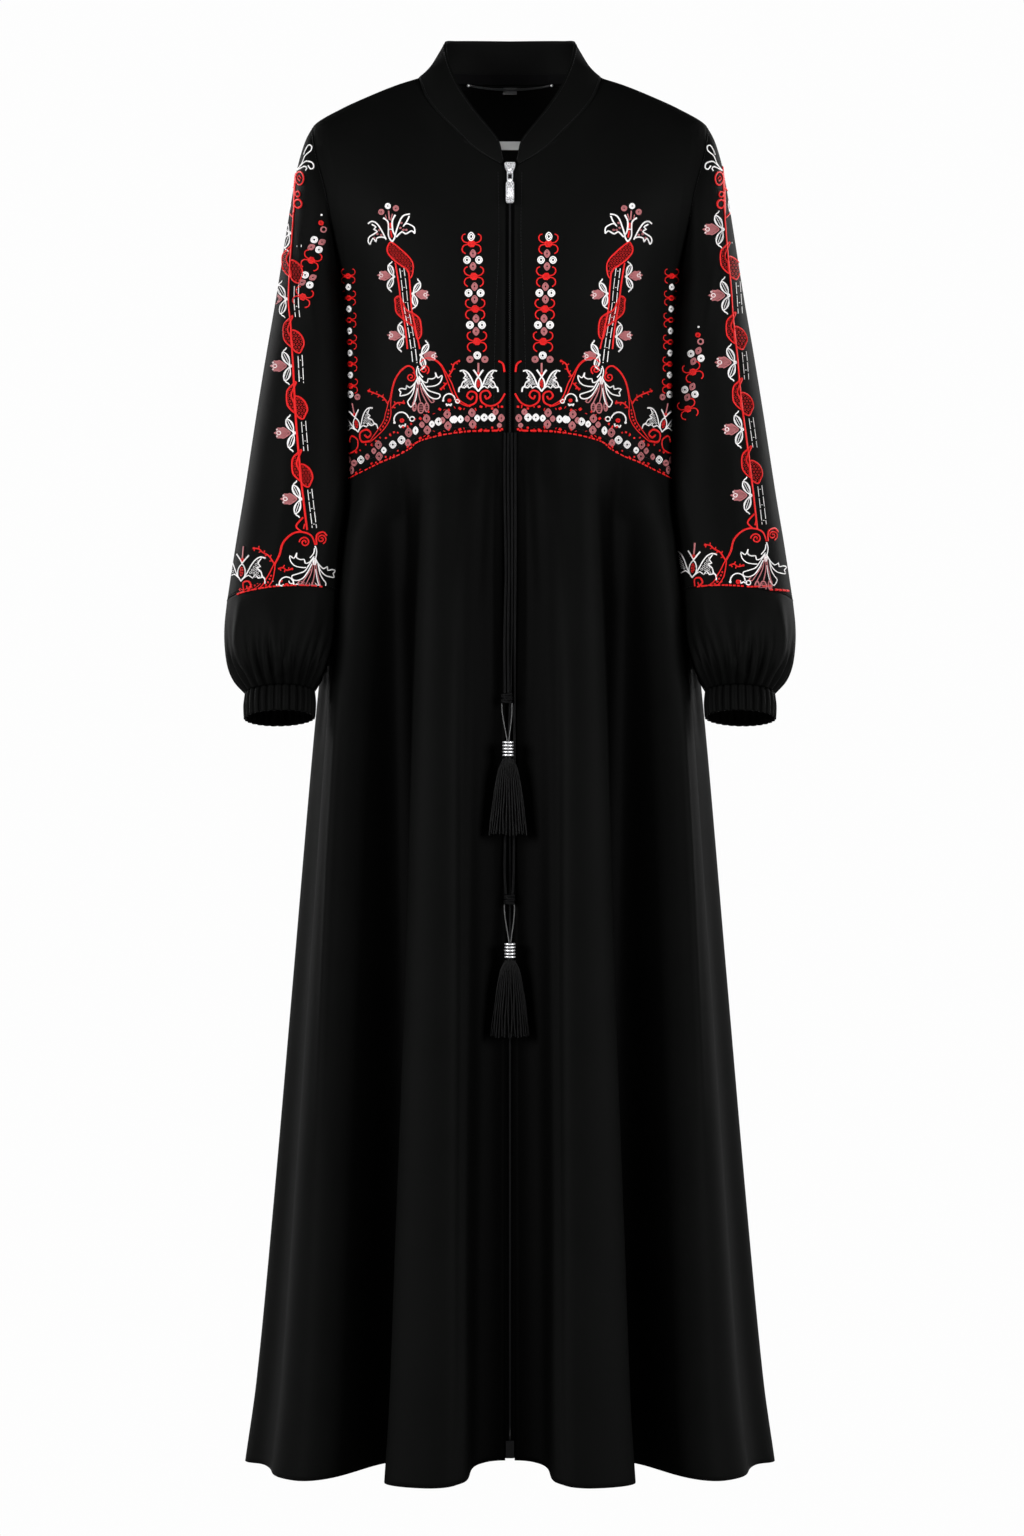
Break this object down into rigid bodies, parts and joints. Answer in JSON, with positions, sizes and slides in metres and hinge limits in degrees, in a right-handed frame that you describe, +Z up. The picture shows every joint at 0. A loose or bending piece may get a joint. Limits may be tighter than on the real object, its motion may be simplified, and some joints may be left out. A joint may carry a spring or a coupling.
{
  "type": "embroidered abaya",
  "caption": "Full-length zip-front abaya with stand collar, embroidered yoke and bishop sleeves, and tasselled drawcords, filled out as if worn.",
  "frame": {"origin": "centre of the neck, level with the neck points at the top of the shoulders, where the wearer holds the garment", "axes": "+Z up, front faces -Y, +X is the wearer's left"},
  "size_m": [0.5658, 0.3827, 1.4267],
  "materials": {
    "crepe": "near-black crepe with a soft satin sheen",
    "zip_tape": "black woven tape",
    "zip_teeth": "black moulded coil teeth, satin",
    "silver_metal": "bright silver plating, lightly worn",
    "black_cord": "fine twisted black cord",
    "tassel_thread": "black rayon thread with a silky sheen",
    "white_tape": "plain white woven tape",
    "red_thread": "bright red embroidery thread",
    "white_thread": "silver-white embroidery thread",
    "rose_thread": "dusty rose embroidery thread"
  },
  "bodies": {
    "garment": {"bodice_front_left": "crepe", "bodice_front_right": "crepe", "bodice_back": "crepe", "skirt_front_left": "crepe", "skirt_front_right": "crepe", "skirt_back": "crepe", "collar": "crepe", "sleeve_left": "crepe", "sleeve_right": "crepe", "sleeve_puff_left": "crepe", "sleeve_puff_right": "crepe", "cuff_left": "crepe", "cuff_right": "crepe", "zip_tape_left": "zip_tape", "zip_tape_right": "zip_tape", "zip_chain": "zip_teeth", "zip_end": "zip_teeth", "zip_slider": "silver_metal", "neck_tape": "zip_tape", "hanger_loop": "black_cord", "neck_label": "zip_tape", "white_strip": "white_tape", "drawcord_upper_a": "black_cord", "drawcord_upper_b": "black_cord", "drawcord_lower_a": "black_cord", "drawcord_lower_b": "black_cord", "cord_knot_upper": "black_cord", "cord_knot_lower": "black_cord", "tassel_loop_upper_a": "black_cord", "tassel_loop_upper_b": "black_cord", "tassel_loop_lower_a": "black_cord", "tassel_loop_lower_b": "black_cord", "tassel_rings_upper": "silver_metal", "tassel_rings_lower": "silver_metal", "tassel_upper": "tassel_thread", "tassel_lower": "tassel_thread"},
    "pull_link": {"zip_link": "silver_metal"},
    "pull_tab": {"zip_pull_tab": "silver_metal"}
  },
  "joints": [
    {"name": "link_swing", "type": "hinge", "parent": "garment", "child": "pull_link", "pos_m": [0, -0.09238, -0.1023], "axis": [-1, 0, 0], "range_deg": [0, 110]},
    {"name": "tab_swing", "type": "hinge", "parent": "pull_link", "child": "pull_tab", "pos_m": [0, -0.09817, -0.11326], "axis": [-1, 0, 0], "range_deg": [0, 80]}
  ]
}
